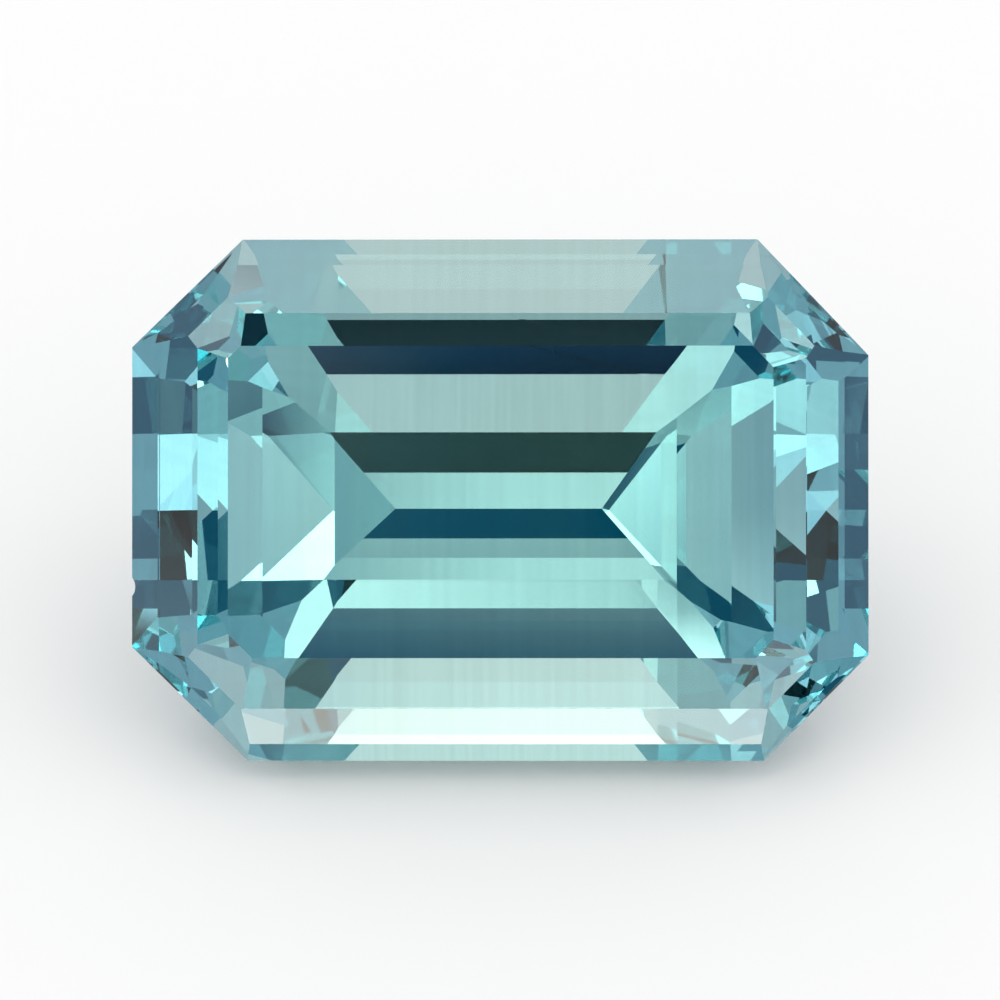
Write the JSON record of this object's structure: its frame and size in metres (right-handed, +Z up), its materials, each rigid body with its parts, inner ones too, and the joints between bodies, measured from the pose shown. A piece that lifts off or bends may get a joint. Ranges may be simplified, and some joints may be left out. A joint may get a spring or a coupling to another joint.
{
  "type": "cut sapphire",
  "caption": "Loose teal gemstone, step cut to a long octagon, lying on one facet of its underside.",
  "frame": {"origin": "on the surface that the stone lies on, under the middle of the box around it", "axes": "+X along the stone's length, +Z up; the table, its large top facet, faces -Y and up"},
  "size_m": [0.007, 0.0042, 0.0042],
  "materials": {
    "sapphire": "polished"
  },
  "bodies": {
    "root": {"sapphire": "sapphire"}
  },
  "joints": []
}
